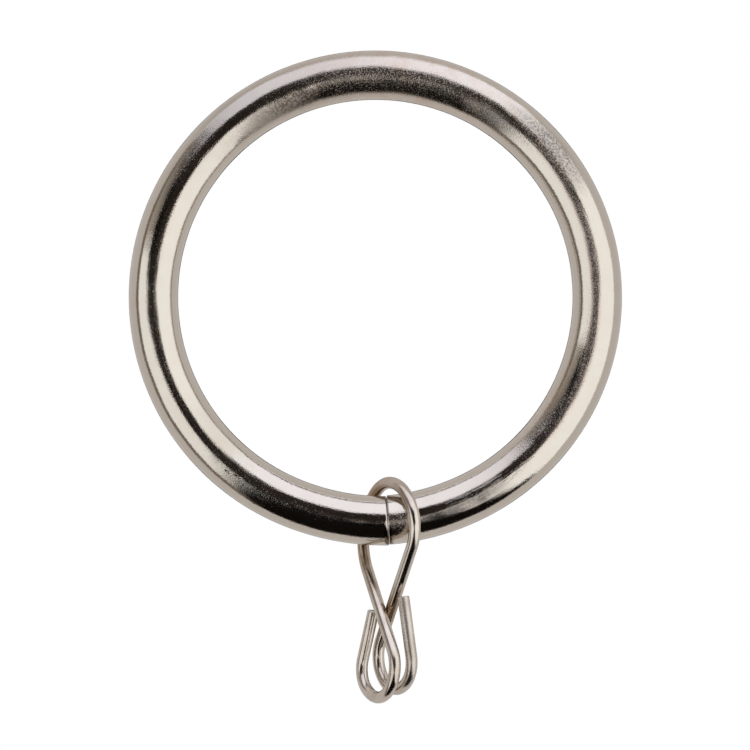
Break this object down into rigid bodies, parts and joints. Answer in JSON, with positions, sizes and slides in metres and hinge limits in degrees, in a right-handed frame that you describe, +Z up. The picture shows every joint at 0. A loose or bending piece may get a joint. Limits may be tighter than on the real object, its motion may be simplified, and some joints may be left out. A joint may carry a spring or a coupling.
{
  "type": "curtain ring with wire hook",
  "caption": "Round metal curtain ring with a butt seam at the bottom, and a bent wire hook that swings from it to carry a curtain's heading tape.",
  "frame": {"origin": "centre of the ring, on the axis of the pole that runs through it", "axes": "+Y along the pole, away from the viewer; +Z up; +X to the viewer's right, in the ring's plane"},
  "size_m": [0.05, 0.0087, 0.0662],
  "materials": {
    "ring_plate": "satin nickel plate on a tumbled steel bar, with a fine speckled grain and small scratches",
    "hook_wire": "bright nickel plate on drawn spring wire, with faint lines along the wire"
  },
  "bodies": {
    "ring": {"ring": "ring_plate"},
    "hook": {"wire_hook": "hook_wire"}
  },
  "joints": [
    {"name": "hook_swing", "type": "hinge", "parent": "ring", "child": "hook", "pos_m": [0.0015, 0, -0.02255], "axis": [0.9986, 0, 0.0523], "continuous": true}
  ]
}
